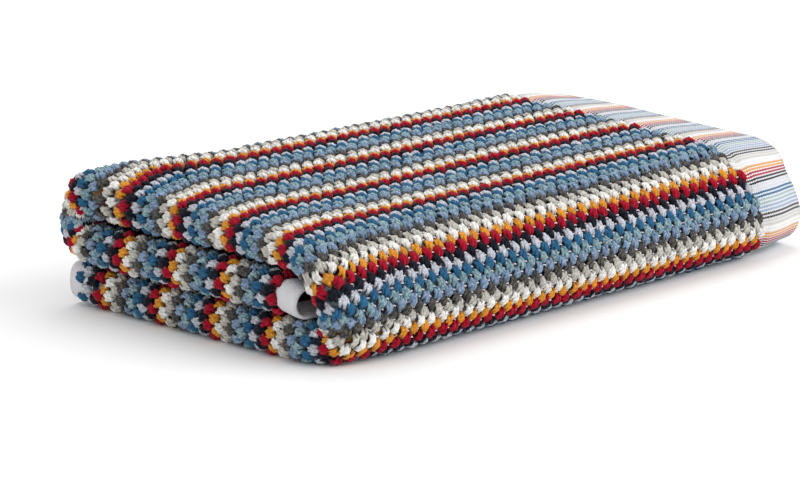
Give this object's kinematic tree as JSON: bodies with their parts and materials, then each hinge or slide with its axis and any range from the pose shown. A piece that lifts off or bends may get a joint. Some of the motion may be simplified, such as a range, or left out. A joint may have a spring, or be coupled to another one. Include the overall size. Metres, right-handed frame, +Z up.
{
  "type": "folded hand towel",
  "caption": "Terry hand towel with narrow colour stripes, folded in three across its length and again across its width into a soft flat stack.",
  "frame": {"origin": "middle of the base, on the surface the towel lies on", "axes": "+X along the stripes towards the end with the flat hem, -Y towards the side with the one round fold, +Z up"},
  "size_m": [0.2918, 0.1646, 0.0571],
  "materials": {
    "terry": "looped cotton pile"
  },
  "bodies": {
    "root": {"towel": "terry"}
  },
  "joints": []
}
